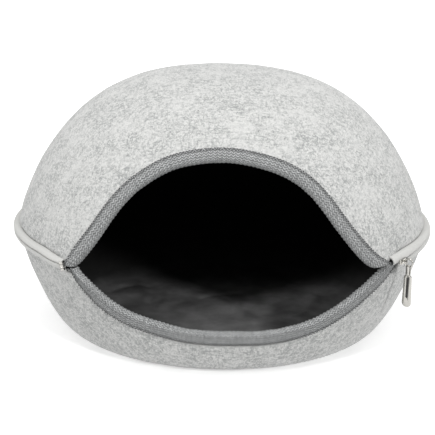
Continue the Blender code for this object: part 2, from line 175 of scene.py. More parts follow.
def linear(hex_colour):
    """sRGB hex to linear red, green and blue."""
    parts = [int(hex_colour[i:i + 2], 16) / 255 for i in (1, 3, 5)]
    return tuple(c / 12.92 if c <= 0.04045 else ((c + 0.055) / 1.055) ** 2.4 for c in parts)


def length(name, description, default):
    return FloatProperty(name=name, description=description, default=default,
                         min=0, subtype="DISTANCE", unit="LENGTH")


def colour(name, description, hex_colour):
    return FloatVectorProperty(name=name, description=description, size=3, min=0, max=1,
                               default=linear(hex_colour), subtype="COLOR")


class CatCaveSizes(bpy.types.PropertyGroup):
    """Sizes of the surface detail."""

    felt_relief: length("Felt relief", "How far the felt's face swells and dips", 0.0005)
    rib_pitch: length("Rib pitch", "Distance between the binding's rows of yarn", 0.0029)
    knit_pitch: length("Knit pitch", "Distance between the chevrons along a row", 0.0042)
    knit_depth: length("Knit depth", "Height of the binding's yarns", 0.0008)
    stitch_pitch: length("Stitch pitch", "Distance between the stitches of a seam", 0.0029)
    thread: length("Thread", "Thickness of the sewing thread", 0.0008)
    columns: IntProperty(name="Columns", description="Cloth columns along one mouth edge",
                         default=170, min=24)


class CatCaveColours(bpy.types.PropertyGroup):
    """Colours of the cloths and metal."""

    felt: colour("Felt", "Main felt colour", "#D9D9D7")
    felt_fleck: colour("Felt fleck", "Darker fibres in the felt", "#9C9E9D")
    lining: colour("Lining", "Lining cloth of the walls", "#0A0A09")
    # the lining's floor colour is partly a paler floor cloth, partly painted light from the lamps
    # through the mouth
    lining_floor_and_painted_light: colour("Lining floor", "Lining cloth where it is laid flat", "#939393")
    binding: colour("Binding", "Knitted binding tape", "#DCDDDD")
    # the binding's groove colour is painted shade between the loops
    binding_groove_shade: colour("Binding groove", "Shade between the binding's loops", "#7E8080")
    tape: colour("Zip tape", "Woven zip tape", "#C9C9C6")
    thread: colour("Thread", "Sewing thread", "#474848")
    nickel: colour("Nickel", "Bright nickel plate", "#B8B6B1")


# ---------------------------------------------------------------- cloth surface

def soft_limit(value):
    """Rises in step with the value, then rounds off at 1."""
    return (value ** -BASE_ROUNDING + 1) ** (-1 / BASE_ROUNDING)


BASE_LIMIT = soft_limit(BOWL_STEEPNESS * (1 - BASE_SHARE ** BOWL_ACROSS) ** (1 / BOWL_UP))


def radius_share(height):
    """Share of the full radius at a height over the zip line, negative in the bowl."""
    above = np.clip(height / DOME_HEIGHT, 0, 1)
    dome = (1 - above ** DOME_UP) ** (1 / DOME_ACROSS)
    below = np.clip(-height / BOWL_DEPTH, 1e-6, 1) * BASE_LIMIT
    depth = (below ** -BASE_ROUNDING - 1) ** (-1 / BASE_ROUNDING) / BOWL_STEEPNESS
    bowl = (1 - np.clip(depth, 0, 1) ** BOWL_UP) ** (1 / BOWL_ACROSS)
    return np.where(height >= 0, dome, bowl)


def on_plan(azimuth, share, height):
    """Point at an azimuth from the front and a share of the radius."""
    across = HALF_WIDTH * share * np.sin(azimuth)
    along = -HALF_DEPTH * share * np.cos(azimuth)
    return np.stack(np.broadcast_arrays(across, along, height), axis=-1)


def wall(azimuth, height):
    """Point on the felt's outer face."""
    return on_plan(azimuth, radius_share(height), height)


def slopes(azimuth, height):
    """Change of the wall point per radian round and per metre of height."""
    turn = 1e-4
    round_step = (wall(azimuth + turn, height) - wall(azimuth - turn, height)) / (2 * turn)
    nearer = height * (1 - 1e-4)
    rise = (wall(azimuth, height) - wall(azimuth, nearer)) / (height - nearer)[..., None]
    return round_step, rise


def unit(vectors):
    return vectors / np.linalg.norm(vectors, axis=-1, keepdims=True)


def outward(azimuth, height):
    """Outward normal of the wall; straight down from the rim of the flat base."""
    round_step, rise = slopes(azimuth, height)
    normal = unit(np.cross(round_step, rise))
    on_base = (height <= -BOWL_DEPTH * (1 - 1e-9))[..., None]
    return np.where(on_base, (0.0, 0.0, -1.0), normal)


def smooth_ramp(value):
    value = np.clip(value, 0, 1)
    return value * value * (3 - 2 * value)


def settle(points):
    """Dips the zip line at the mouth's corners and raises the piece onto z = 0."""
    x, y, z = np.moveaxis(points, -1, 0)
    turn = np.degrees(np.arctan2(x, -y))
    depth = np.where(turn < 0, DIP_LEFT, DIP_RIGHT)
    near = 1 - smooth_ramp((abs(turn) - DIP_FULL) / (DIP_NONE - DIP_FULL))
    dip = depth * near * np.exp(-(z / DIP_SPREAD) ** 2)
    return np.stack((x, y, z - dip + ZIP_HEIGHT), axis=-1)


def place(azimuth, height, out):
    """Settled point at a distance out from the felt's outer face."""
    azimuth, height = np.broadcast_arrays(np.asarray(azimuth, float), np.asarray(height, float))
    out = np.asarray(out, float)
    return settle(wall(azimuth, height) + outward(azimuth, height) * out[..., None])


def path_length(points):
    steps = np.linalg.norm(np.diff(points, axis=0), axis=-1)
    return np.concatenate(((0.0,), np.cumsum(steps)))


def curve_through(table, count):
    """Azimuths and heights at even steps along a smooth curve through a table of points."""
    knots = np.array(table, float)
    knots = np.vstack((2 * knots[0] - knots[1], knots, 2 * knots[-1] - knots[-2]))
    fine = []
    for before, start, end, after in zip(knots, knots[1:], knots[2:], knots[3:]):
        t = np.linspace(0, 1, 20, endpoint=False)[:, None]
        fine.append(0.5 * (2 * start + (end - before) * t
                           + (2 * before - 5 * start + 4 * end - after) * t ** 2
                           + (3 * start - before - 3 * end + after) * t ** 3))
    fine = np.vstack((*fine, knots[-2:-1]))
    azimuth, height = fine[:, 0] * DEGREE, fine[:, 1] * MM
    run = path_length(wall(azimuth, height))
    even = np.linspace(0, run[-1], count + 1)
    return np.interp(even, run, azimuth), np.interp(even, run, height)


def walk(azimuth, height, direction, distance):
    """Goes a distance over the wall from each point, as straight as the wall allows."""
    azimuth, height = azimuth.copy(), height.copy()
    count = max(1, math.ceil(abs(distance) / (2 * MM)))
    for _ in range(count):
        round_step, rise = slopes(azimuth, height)
        basis = np.stack((round_step, rise), axis=-1)
        step = direction * distance / count
        change = np.linalg.pinv(basis) @ step[..., None]
        azimuth += change[:, 0, 0]
        height += change[:, 1, 0]
    return azimuth, height


def lip_frame(lip, side, count):
    """Points of a mouth edge, its length so far, and the way from it into the felt."""
    azimuth, height = curve_through(lip, count)
    run = path_length(wall(azimuth, height))
    tangent = unit(np.gradient(wall(azimuth, height), run, axis=0))
    away = np.cross(outward(azimuth, height), tangent) * side
    # at the corners it runs on along the zip line, and its lower left end is drawn in
    ends = np.minimum(run, run[-1] - run) / (18 * MM)
    level = unit(slopes(azimuth, height)[0]) * np.sign(azimuth)[:, None]
    share = np.exp(-ends ** 2)[:, None]
    away = unit(away * (1 - share) + level * share)
    if side < 0:
        away = away * (1 - DRAWN_IN * share * (azimuth < 0)[:, None])
    return azimuth, height, run, away


# ---------------------------------------------------------------- mesh helpers

def grid_faces(along, across, closed, start):
    """Corner numbers of a grid's faces, [along, across]."""
    columns = np.arange(along if closed else along - 1)
    nexts = (columns + 1) % along
    rows = np.arange(across - 1)
    a = start + columns[:, None] * across + rows
    b = start + nexts[:, None] * across + rows
    return np.stack((a, b, b + 1, a + 1), axis=-1).reshape(-1, 4)


def add_piece(name, points, faces, look):
    """Smooth object from points and faces, with its faces turned outwards."""
    mesh = bpy.data.meshes.new(name)
    mesh.from_pydata(points, [], faces)
    work = bmesh.new()
    work.from_mesh(mesh)
    bmesh.ops.recalc_face_normals(work, faces=work.faces)
    work.to_mesh(mesh)
    work.free()
    mesh.shade_smooth()
    mesh.materials.append(look)
    piece = bpy.data.objects.new(name, mesh)
    bpy.context.scene.collection.objects.link(piece)
    return piece


def cloth(name, outer, inner, look, closed=False, poles=None, marks=None, uv=None):
    """Solid cloth between two grids of points, [along, across].

    A closed sheet runs right round and ends in a pole on each face. marks are named
    values for each point of the outer grid, and uv its (u, v), both kept on the inner grid.
    """
    along, across = outer.shape[:2]
    size = along * across
    points = np.vstack((outer.reshape(-1, 3), inner.reshape(-1, 3)))
    faces = [grid_faces(along, across, closed, 0), grid_faces(along, across, closed, size)]
    columns = np.arange(along if closed else along - 1)
    nexts = (columns + 1) % along
    for row in ((0,) if closed else (0, across - 1)):
        a, b = columns * across + row, nexts * across + row
        faces.append(np.stack((a, b, b + size, a + size), axis=-1))
    if not closed:
        rows = np.arange(across - 1)
        for column in (0, along - 1):
            a = column * across + rows
            faces.append(np.stack((a, a + 1, a + 1 + size, a + size), axis=-1))
    faces = [tuple(face) for face in np.vstack(faces).tolist()]
    if poles is not None:
        points = np.vstack((points, poles))
        last = across - 1
        for face in (0, 1):
            for column in columns:
                faces.append((face * size + column * across + last,
                              face * size + ((column + 1) % along) * across + last,
                              2 * size + face))
    piece = add_piece(name, points.tolist(), faces, look)
    mesh = piece.data
    for mark, values in (marks or {}).items():
        layer = mesh.attributes.new(mark, "FLOAT", "POINT")
        both = np.concatenate((values.ravel(), values.ravel()))
        layer.data.foreach_set("value", np.pad(both, (0, len(points) - len(both))))
    if uv is not None:
        both = np.vstack((uv.reshape(-1, 2), uv.reshape(-1, 2)))
        corners = np.empty(len(mesh.loops), dtype=np.int64)
        mesh.loops.foreach_get("vertex_index", corners)
        mesh.uv_layers.new(name="Cloth").data.foreach_set("uv", both[corners].ravel())
    mesh.set_sharp_from_angle(angle=50 * DEGREE)
    return piece


def finish_piece(piece, slot, *nodes):
    """Rides on the body and stands for its nodes; slot is not used."""
    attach(piece, "root")
    if nodes:
        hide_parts(*nodes)
    return piece


def swell(points, size, seed):
    """Soft random value from -1 to 1 for each point, with bumps of the given size."""
    flat = points.reshape(-1, 3) / size + seed
    values = [noise.noise(Vector(point)) for point in flat]
    return np.array(values).reshape(points.shape[:-1])


# ---------------------------------------------------------------- materials

def add_node(tree, kind, settings=None, **inputs):
    """Adds a node, sets its own settings, and sets or links its inputs."""
    node = tree.nodes.new(kind)
    for key, value in (settings or {}).items():
        setattr(node, key, value)
    for key, value in inputs.items():
        socket = node.inputs[int(key[1:]) if key[0] == "i" and key[1:].isdigit() else
                             key.replace("_", " ")]
        if isinstance(value, bpy.types.NodeSocket):
            tree.links.new(value, socket)
        else:
            socket.default_value = value
    return node


def new_material(name):
    """Material with an empty shader, its tree and its Principled node."""
    look = bpy.data.materials.new(name)
    look.use_nodes = True
    return look, look.node_tree, look.node_tree.nodes["Principled BSDF"]


def ramp(tree, factor, *stops):
    """Colour ramp through (position, grey) stops."""
    node = add_node(tree, "ShaderNodeValToRGB", Fac=factor)
    stops_on = node.color_ramp.elements
    while len(stops_on) < len(stops):
        stops_on.new(0.5)
    for stop, (position, grey) in zip(stops_on, stops):
        stop.position = position
        stop.color = (grey, grey, grey, 1)
    return node.outputs["Color"]


def mixed(tree, factor, first, second, mode="MIX"):
    """Mixes two colours."""
    node = add_node(tree, "ShaderNodeMix", {"data_type": "RGBA", "blend_type": mode})
    for socket, value in ((node.inputs[0], factor), (node.inputs[6], first), (node.inputs[7], second)):
        if isinstance(value, bpy.types.NodeSocket):
            tree.links.new(value, socket)
        else:
            socket.default_value = value
    return node.outputs[2]


def opaque(colour_value):
    return (*colour_value, 1.0)


def felt_material(colours):
    """Needle-punched polyester felt: matt, mottled, with darker fibres lying every way."""
    look, tree, shader = new_material("needled_light_grey_felt")
    where = add_node(tree, "ShaderNodeTexCoord").outputs["Object"]
    tufts = None
    # tufts of fibre about 1.5 mm by 5 mm, drawn coarser than the 0.03 mm fibres so that
    # they show; they lie three ways, so that each side of the cave has some
    for turn, stretch in (((0.3, 0.2, 0.5), (1, 0.26, 1)), ((0.9, 0.4, -0.6), (0.26, 1, 1)),
                          ((-0.5, 1.1, 0.8), (1, 1, 0.3))):
        laid = add_node(tree, "ShaderNodeMapping", Vector=where, Rotation=turn, Scale=stretch)
        fibre = add_node(tree, "ShaderNodeTexNoise", Vector=laid.outputs[0], Scale=430.0,
                         Detail=2.0, Roughness=0.5, Distortion=1.2)
        dark = ramp(tree, fibre.outputs[0], (0.47, 0.0), (0.70, 1.0))
        tufts = dark if tufts is None else mixed(tree, 1.0, tufts, dark, "ADD")
    # clouds about 25 mm across gather the tufts unevenly
    cloud = add_node(tree, "ShaderNodeTexNoise", Vector=where, Scale=42.0, Detail=4.0,
                     Roughness=0.6)
    gathered = ramp(tree, cloud.outputs[0], (0.30, 0.30), (0.70, 1.0))
    # the flecks are stronger below the zip line than above it
    level = add_node(tree, "ShaderNodeSeparateXYZ", Vector=where).outputs["Z"]
    piece = add_node(tree, "ShaderNodeMapRange", Value=level, From_Min=0.10, From_Max=0.16,
                     To_Min=1.2, To_Max=0.95)
    amount = mixed(tree, 1.0, mixed(tree, 1.0, tufts, gathered, "MULTIPLY"), piece.outputs[0],
                   "MULTIPLY")
    grain = add_node(tree, "ShaderNodeTexNoise", Vector=where, Scale=900.0, Detail=2.0)
    pale = mixed(tree, ramp(tree, grain.outputs[0], (0.3, 0.0), (0.7, 0.5)),
                 opaque(colours.felt), opaque([0.80 * c for c in colours.felt]))
    mottled = mixed(tree, amount, pale, opaque(colours.felt_fleck))
    # a few dark specks about 1.5 mm across
    specks = add_node(tree, "ShaderNodeTexVoronoi", Vector=where, Scale=75.0)
    speck = ramp(tree, specks.outputs["Distance"], (0.045, 0.55), (0.085, 0.0))
    tree.links.new(mixed(tree, speck, mottled, opaque([0.3 * c for c in colours.felt_fleck])),
                   shader.inputs["Base Color"])
    shader.inputs["Roughness"].default_value = 0.95
    shader.inputs["Specular IOR Level"].default_value = 0.2
    shader.inputs["Sheen Weight"].default_value = 0.25
    shader.inputs["Sheen Roughness"].default_value = 0.6
    fuzz = add_node(tree, "ShaderNodeTexNoise", Vector=where, Scale=480.0, Detail=4.0,
                    Roughness=0.7)
    bump = add_node(tree, "ShaderNodeBump", Height=fuzz.outputs[0], Strength=0.7, Distance=0.0008)
    tree.links.new(bump.outputs[0], shader.inputs["Normal"])
    return look


def lining_material(colours):
    """Black brushed polyester cloth: dull, with a faint nap, and paler on the floor: partly a paler
    floor cloth, partly painted light from the lamps through the mouth.
    """
    look, tree, shader = new_material("brushed_black_lining")
    where = add_node(tree, "ShaderNodeTexCoord").outputs["Object"]
    nap = add_node(tree, "ShaderNodeTexNoise", Vector=where, Scale=60.0, Detail=5.0)
    height = add_node(tree, "ShaderNodeSeparateXYZ", Vector=where).outputs["Z"]
    uneven = add_node(tree, "ShaderNodeTexNoise", Vector=where, Scale=24.0, Detail=2.0)
    level = add_node(tree, "ShaderNodeMath", {"operation": "MULTIPLY_ADD"}, i0=uneven.outputs[0],
                     i1=0.010, i2=height).outputs[0]
    share = add_node(tree, "ShaderNodeMapRange", Value=level, From_Min=0.0, From_Max=0.20)
    # the pale floor colour, part floor cloth and part painted light of the lamps, fades out over the
    # first 40 mm up the walls
    laid = ramp(tree, share.outputs[0], (0.05, 1.0), (0.075, 0.40), (0.10, 0.14), (0.20, 0.05),
                (0.60, 0.0))
    # the floor is painted palest from the mouth to its middle: painted light of the lamps falling
    # through the mouth; the floor cloth is palest from the mouth to its middle; a guess, as light
    # may do it too
    depth = add_node(tree, "ShaderNodeSeparateXYZ", Vector=where).outputs["Y"]
    nearer = add_node(tree, "ShaderNodeMapRange", {"interpolation_type": "SMOOTHSTEP"},
                       Value=depth, From_Min=0.04, From_Max=0.13, To_Min=1.0, To_Max=0.25)
    laid = mixed(tree, 1.0, laid, nearer.outputs[0], "MULTIPLY")
    cloth_with_painted_light = mixed(tree, laid, opaque(colours.lining), opaque(colours.lining_floor_and_painted_light))
    worn = ramp(tree, nap.outputs[0], (0.35, 0.75), (0.65, 1.0))
    tree.links.new(mixed(tree, 1.0, cloth_with_painted_light, worn, "MULTIPLY"), shader.inputs["Base Color"])
    shader.inputs["Roughness"].default_value = 0.9
    shader.inputs["Specular IOR Level"].default_value = 0.15
    fine = add_node(tree, "ShaderNodeTexNoise", Vector=where, Scale=800.0, Detail=2.0)
    bump = add_node(tree, "ShaderNodeBump", Height=fine.outputs[0], Strength=0.4, Distance=0.0004)
    tree.links.new(bump.outputs[0], shader.inputs["Normal"])
    return look


def binding_material(colours):
    """Knitted elastic tape: pale loops round painted shade in the pits, and painted shade along its
    sewn hem.
    """
    look, tree, shader = new_material("knitted_grey_binding")
    relief = add_node(tree, "ShaderNodeAttribute", {"attribute_name": "relief"}).outputs["Fac"]
    # painted shade: the pits between the loops are darkened by the same relief that lifts the loops
    shade = ramp(tree, relief, (0.12, 0.0), (0.85, 1.0))
    where = add_node(tree, "ShaderNodeTexCoord").outputs["Object"]
    yarn = add_node(tree, "ShaderNodeTexNoise", Vector=where, Scale=420.0, Detail=3.0)
    ribs = mixed(tree, shade, opaque(colours.binding_groove_shade), opaque(colours.binding))
    uneven = ramp(tree, yarn.outputs[0], (0.34, 0.62), (0.66, 1.0))
    hem = add_node(tree, "ShaderNodeAttribute", {"attribute_name": "hem"}).outputs["Fac"]
    # painted shade along the sewn hem, ten per cent darker
    hem_shade = ramp(tree, hem, (0.0, 1.0), (1.0, 0.90))
    yarns = mixed(tree, 1.0, ribs, uneven, "MULTIPLY")
    tree.links.new(mixed(tree, 1.0, yarns, hem_shade, "MULTIPLY"), shader.inputs["Base Color"])
    shader.inputs["Roughness"].default_value = 0.85
    shader.inputs["Sheen Weight"].default_value = 0.15
    bump = add_node(tree, "ShaderNodeBump", Height=yarn.outputs[0], Strength=0.5, Distance=0.0003)
    tree.links.new(bump.outputs[0], shader.inputs["Normal"])
    return look


def tape_material(colours):
    """Woven nylon zip tape: smooth, slightly silky, with a fine diagonal weave."""
    look, tree, shader = new_material("woven_nylon_zip_tape")
    uv = add_node(tree, "ShaderNodeTexCoord").outputs["UV"]
    # ribs about 1.1 mm apart, coarser than the real 0.4 mm weave so that they can show
    weave = add_node(tree, "ShaderNodeTexWave", {"bands_direction": "DIAGONAL"}, Vector=uv,
                     Scale=420.0, Distortion=0.4)
    soft = ramp(tree, weave.outputs["Fac"], (0.0, 0.9), (1.0, 1.0))
    tree.links.new(mixed(tree, 1.0, opaque(colours.tape), soft, "MULTIPLY"),
                   shader.inputs["Base Color"])
    shader.inputs["Roughness"].default_value = 0.6
    shader.inputs["Sheen Weight"].default_value = 0.1
    bump = add_node(tree, "ShaderNodeBump", Height=weave.outputs["Fac"], Strength=0.15,
                    Distance=0.0002)
    tree.links.new(bump.outputs[0], shader.inputs["Normal"])
    return look


def thread_material(colours):
    """Twisted polyester sewing thread: dull with a slight gloss."""
    look, tree, shader = new_material("twisted_grey_thread")
    where = add_node(tree, "ShaderNodeTexCoord").outputs["Object"]
    twist = add_node(tree, "ShaderNodeTexNoise", Vector=where, Scale=900.0)
    tree.links.new(mixed(tree, twist.outputs[0], opaque([0.6 * c for c in colours.thread]),
                         opaque(colours.thread)), shader.inputs["Base Color"])
    shader.inputs["Roughness"].default_value = 0.6
    return look


def nickel_material(colours):
    """Nickel-plated die-cast zinc: bright and mirror-like, with faint handling marks."""
    look, tree, shader = new_material("bright_nickel_plate")
    where = add_node(tree, "ShaderNodeTexCoord").outputs["Object"]
    marks = add_node(tree, "ShaderNodeTexNoise", Vector=where, Scale=250.0, Detail=3.0)
    spread = add_node(tree, "ShaderNodeMapRange", Value=marks.outputs[0], To_Min=0.12, To_Max=0.28)
    tree.links.new(spread.outputs[0], shader.inputs["Roughness"])
    shader.inputs["Base Color"].default_value = opaque(colours.nickel)
    shader.inputs["Metallic"].default_value = 1.0
    return look


def slot_shade_material(_):
    """Dark plate in the pull's slot, painted shade for its depth: dark and half dull."""
    look, tree, shader = new_material("painted_slot_shade")
    where = add_node(tree, "ShaderNodeTexCoord").outputs["Object"]
    cloud = add_node(tree, "ShaderNodeTexNoise", Vector=where, Scale=300.0)
    # two dark greys: painted shade standing for the slot's depth
    tree.links.new(mixed(tree, cloud.outputs[0], opaque(linear("#191919")),
                         opaque(linear("#353433"))),
                   shader.inputs["Base Color"])
    shader.inputs["Roughness"].default_value = 0.5
    return look


MAKERS = {"felt": felt_material, "lining": lining_material, "binding": binding_material,
          "tape": tape_material, "thread": thread_material, "nickel": nickel_material,
          "groove": slot_shade_material}
MADE = {}


def material(name):
    if name not in MADE:
        MADE[name] = MAKERS[name](bpy.context.scene.cat_cave_colours)
    return MADE[name]


# ---------------------------------------------------------------- felt and lining

def closure(azimuth):
    """Height of the closed edges over the zip line, which ride up at the right side."""
    turn = (azimuth / DEGREE + 180) % 360 - 180
    return CLOSURE_RISE * smooth_ramp((turn - 54) / 14) * (1 - smooth_ramp((turn - 100) / 40))


def tape_reach(azimuth, side):
    """Width of a tape from the closure line to its seam; the upper one is uneven."""
    even = (6.2 + 1.4 * np.sin(azimuth)) * MM if side > 0 else np.full_like(azimuth, 7.8 * MM)
    return even - side * closure(azimuth)


def half_edge(lip, side, count, by_tape):
    """Azimuth and height of a half's edge: along the lip, then round the zip line.

    by_tape lays the edge beside the zip tape, as the felt's; otherwise it is the lining's.
    """
    azimuth, height = curve_through(lip, count)
    start, end = azimuth[-1], azimuth[0] + 2 * math.pi
    near = np.arange(1, CORNER_COLUMNS + 1) * CORNER_STEP * DEGREE
    middle = np.linspace(start + near[-1], end - near[-1], int(0.8 * count))[1:-1]
    back = np.concatenate((start + near, middle, end - near[::-1]))
    beyond = np.minimum(back - start, end - back) / DEGREE
    if by_tape:
        leave = smooth_ramp(beyond / (CORNER_COLUMNS * CORNER_STEP))
        seam = tape_reach(back, side) + GAP + side * closure(back)
        edge = 1.5 * MM + (seam - 1.5 * MM) * leave
        if side < 0:
            right = (back - start < end - back)
            for here, (middle, half, depth) in ((right, RIGHT_POCKET), (~right, LEFT_POCKET)):
                pocket = np.exp(-((beyond - middle) / half) ** 4)
                edge = edge + here * pocket * np.maximum(1.5 * MM + depth - edge, 0)
    else:
        edge = np.full_like(back, LINING_EDGE)
    return np.concatenate((azimuth, back)), np.concatenate((height, side * edge))


def rows_down(azimuth, start, end, rows, crowd):
    """Heights down one column and their distances from the edge; crowd gathers them there."""
    blend = np.linspace(0, 1, 300)
    if end > 0:
        first = math.asin((start / end) ** (DOME_UP / 2))
        heights = end * np.sin(first + (math.pi / 2 - first) * blend) ** (2 / DOME_UP)
    else:
        heights = start + (end - start) * (1 - (1 - blend) ** 3)
    run = path_length(wall(azimuth, heights))
    steps = run[-1] * np.linspace(0, 1, rows + 1) ** crowd
    return np.interp(steps, run, heights), steps


def half_grid(lip, side, count, rows, by_tape):
    """Azimuths, heights and distances from the edge of a whole half."""
    azimuth, starts = half_edge(lip, side, count, by_tape)
    end = DOME_HEIGHT if side > 0 else -BOWL_DEPTH
    crowd = 1.5 if by_tape else 1.0
    columns = [rows_down(a, start, end, rows, crowd) for a, start in zip(azimuth, starts)]
    height = np.array([column[0] for column in columns])
    distance = np.array([column[1] for column in columns])
    turn = np.repeat(azimuth[:, None], height.shape[1], axis=1)
    if side > 0:
        return turn[:, :-1], height[:, :-1], distance[:, :-1]
    return turn, height, distance


def with_floor(grid, out, rings):
    """Adds the rings of the flat floor, inside its rim, to a bowl's grid."""
    shares = np.linspace(1, 0, rings + 1)[1:-1]
    rim = grid[:, -1:]
    level = np.full_like(rim[..., 2:], 0.0) - out[:, -1:, None]
    inside = np.concatenate((rim[..., :2] * shares[None, :, None],
                             np.repeat(level, len(shares), axis=1)), axis=-1)
    return np.concatenate((grid, inside), axis=1)


def felt_relief(points, depth):
    return depth * (0.7 * swell(points, 0.030, 3.1) + 0.3 * swell(points, 0.009, 8.4))


def make_felt(name, lip, side, node):
    """One felt half, with its uneven face."""
    sizes = bpy.context.scene.cat_cave_sizes
    rows = 66 if side > 0 else 44
    turn, height, distance = half_grid(lip, side, sizes.columns, rows, True)
    base = place(turn, height, np.zeros_like(height))
    free = np.clip(np.abs(height + BOWL_DEPTH) / 0.02, 0, 1)
    out = felt_relief(base, sizes.felt_relief) * free
    out -= FELT_DROP * (1 - smooth_ramp(distance / FELT_ROUND)) ** 2
    outer = place(turn, height, out)
    inner = place(turn, height, out * 0 - FELT)
    if side > 0:
        top = ZIP_HEIGHT + DOME_HEIGHT
        poles = [(0, 0, top), (0, 0, top - FELT)]
    else:
        outer, inner = with_floor(outer, 0 * out, 6), with_floor(inner, 0 * out - FELT, 6)
        poles = [(0, 0, 0), (0, 0, FELT)]
    piece = cloth(name, outer, inner, material("felt"), closed=True, poles=poles)
    finish_piece(piece, "felt", node)
    return piece


def near_line(points, line):
    """Distance of each point from a line of straight runs."""
    nearest = np.full(points.shape[:-1], np.inf)
    for start, end in zip(line, line[1:]):
        start, run = np.array(start) * MM, (np.array(end) - np.array(start)) * MM
        share = np.clip(((points - start) @ run) / (run @ run), 0, 1)
        gap = np.linalg.norm(points - start - share[..., None] * run, axis=-1)
        nearest = np.minimum(nearest, gap)
    return nearest


def slack(points, distance, folds):
    """Stand-off of the loose lining: broad swells, and the listed folds."""
    free = smooth_ramp((distance - 26 * MM) / (50 * MM))
    loose = LINING_SLACK * (0.65 + 0.45 * swell(points, 0.080, 1.7) + 0.15 * swell(points, 0.032, 5.2))
    for height, width, line in folds:
        loose = loose + height * MM * np.exp(-(near_line(points, line) / (width * MM)) ** 2)
    return np.maximum(loose, 0.2 * MM) * free


def make_lining(name, lip, side, node, folds):
    """One lining, close at its edges and loose between them."""
    sizes = bpy.context.scene.cat_cave_sizes
    rows = 60
    turn, height, distance = half_grid(lip, side, int(0.9 * sizes.columns), rows, False)
    back = -(FELT + GAP)
    close = place(turn, height, np.full_like(height, back))
    if side > 0:
        loose = slack(close, distance, folds)
        outer = place(turn, height, back - loose)
        inner = place(turn, height, back - loose - LINING)
        top = ZIP_HEIGHT + DOME_HEIGHT + back
        poles = [(0, 0, top), (0, 0, top - LINING)]
        fade = np.clip((height[..., None] / DOME_HEIGHT - 0.985) / 0.015, 0, 1)
        outer, inner = outer + fade * (close - outer), inner + fade * (close - inner)
        inner[..., 2] -= fade[..., 0] * LINING
    else:
        rings = 44
        spread = np.repeat(distance[:, -1:], rings - 1, axis=1)
        all_close = with_floor(close, np.full_like(height, back), rings)
        loose = slack(all_close, np.concatenate((distance, spread), axis=1), folds)
        shell = distance.shape[1]
        outer_wall = place(turn, height, back - loose[:, :shell])
        inner_wall = place(turn, height, back - loose[:, :shell] - LINING)
        floor = all_close[:, shell:]
        up = np.zeros_like(floor)
        up[..., 2] = loose[:, shell:]
        outer = np.concatenate((outer_wall, floor + up), axis=1)
        inner = np.concatenate((inner_wall, floor + up + (0, 0, LINING)), axis=1)
        middle = float(outer[:, -1, 2].mean())
        poles = [(0, 0, middle), (0, 0, middle + LINING)]
    piece = cloth(name, outer, inner, material("lining"), closed=True, poles=poles)
    finish_piece(piece, "lining", node)
    return piece


# ---------------------------------------------------------------- binding

def binding_line(cut):
    """Points across the binding: distance from the cut edge, and offset from the felt's face."""
    outside = GAP + OUTER_EASE + BINDING
    inside = -(FELT + LINING + 2 * GAP + BINDING + INNER_EASE)
    middle, half = (outside + inside) / 2, (outside - inside) / 2
    arc = np.linspace(0, math.pi, 24)
    roll = np.stack((-(LIP_ROLL - cut) * np.sin(arc), middle + (half - cut) * np.cos(arc)), axis=-1)
    legs = np.linspace(1, 0, 23)[:-1, None]
    front = np.hstack((BINDING_LEG * legs, np.full_like(legs, outside - cut)))
    rear = np.hstack((BINDING_LEG * legs[::-3], np.full_like(legs[::-3], inside + cut)))
    return np.vstack((front, roll, rear))


def knit(run, width, sizes):
    """Relief of the knitted tape: stacked chevrons of yarn, 0 between them to 1 on them.

    The loops are drawn coarser than a real tape's, so that they show.
    """
    wale = run / sizes.knit_pitch + 0.05 * np.sin(run / (19 * MM))
    course = width / sizes.rib_pitch + 0.20 * np.sin(run / (13 * MM)) + 0.1 * np.sin(run / (4.1 * MM))
    # 0 in the middle of a chevron to 1 where it meets the next one
    aside = np.abs(wale % 1 - 0.5) * 2
    strand = np.cos(2 * math.pi * (course + 0.85 * aside))
    # each leg of a chevron is a loop of its own, no two alike
    leg, row = np.floor(2 * wale), np.floor(course + 0.85 * aside + 0.5)
    uneven = np.sin(leg * LOOP_MIX[0] + row * LOOP_MIX[1]) * LOOP_MIX[2] % 1
    return (smooth_ramp((strand + 0.55) / 1.35) * (0.45 + 0.55 * np.sin(math.pi * aside))
            * (0.78 + 0.22 * uneven))


def ends_in(height, run, side):
    """Brings the ends of a mouth edge close to the zip line."""
    ends = np.minimum(run, run[-1] - run) / (9 * MM)
    return height - side * (abs(height[0]) - END_CLEARANCE) * np.exp(-ends ** 2)


def make_binding(name, lip, side, node):
    """Knitted tape folded over one edge of the mouth."""
    sizes = bpy.context.scene.cat_cave_sizes
    total = lip_frame(lip, side, 60)[2][-1]
    count = CHEVRON_COLUMNS * round(total / sizes.knit_pitch)
    azimuth, height, run, away = lip_frame(lip, side, count)
    height = ends_in(height, run, side)
    grids = []
    for cut in (0, BINDING):
        line = binding_line(cut)
        width = path_length(line)
        # the relief stands off square to the fold's own line
        normals = np.gradient(line, axis=0)[:, ::-1] * (-1, 1)
        normals = normals / np.linalg.norm(normals, axis=1, keepdims=True)
        relief = knit(run[:, None], width[None, :], sizes)
        grid = []
        for column, (distance, out) in enumerate(line):
            turn, rise = walk(azimuth, height, away, distance)
            rise = side * np.maximum(side * rise, END_CLEARANCE)
            grid.append(place(turn, rise, np.full(len(turn), out)))
            if cut == 0:
                along, outwards = normals[column]
                face = outward(turn, rise)
                push = away * along + face * outwards
                rolled = np.clip(1 - abs(distance) / (5 * MM), 0, 1)
                bulge = 0.5 * MM * rolled * (swell(grid[-1], 0.009, 2.6)
                                             + np.cos(2 * math.pi * run / sizes.knit_pitch))
                lift = relief[:, column] * sizes.knit_depth * (1 + 0.6 * rolled) + bulge
                grid[-1] = grid[-1] + push * lift[:, None]
        grids.append(np.stack(grid, axis=1))
        if cut == 0:
            hem = np.broadcast_to(1 - smooth_ramp((width - 2.8 * MM) / (1.2 * MM)), relief.shape)
            marks = {"relief": relief, "hem": hem}
            uv = np.stack(np.broadcast_arrays(run[:, None], width[None, :]), axis=-1)
    piece = cloth(name, *grids, material("binding"), marks=marks, uv=uv)
    finish_piece(piece, "binding", node)
    return piece


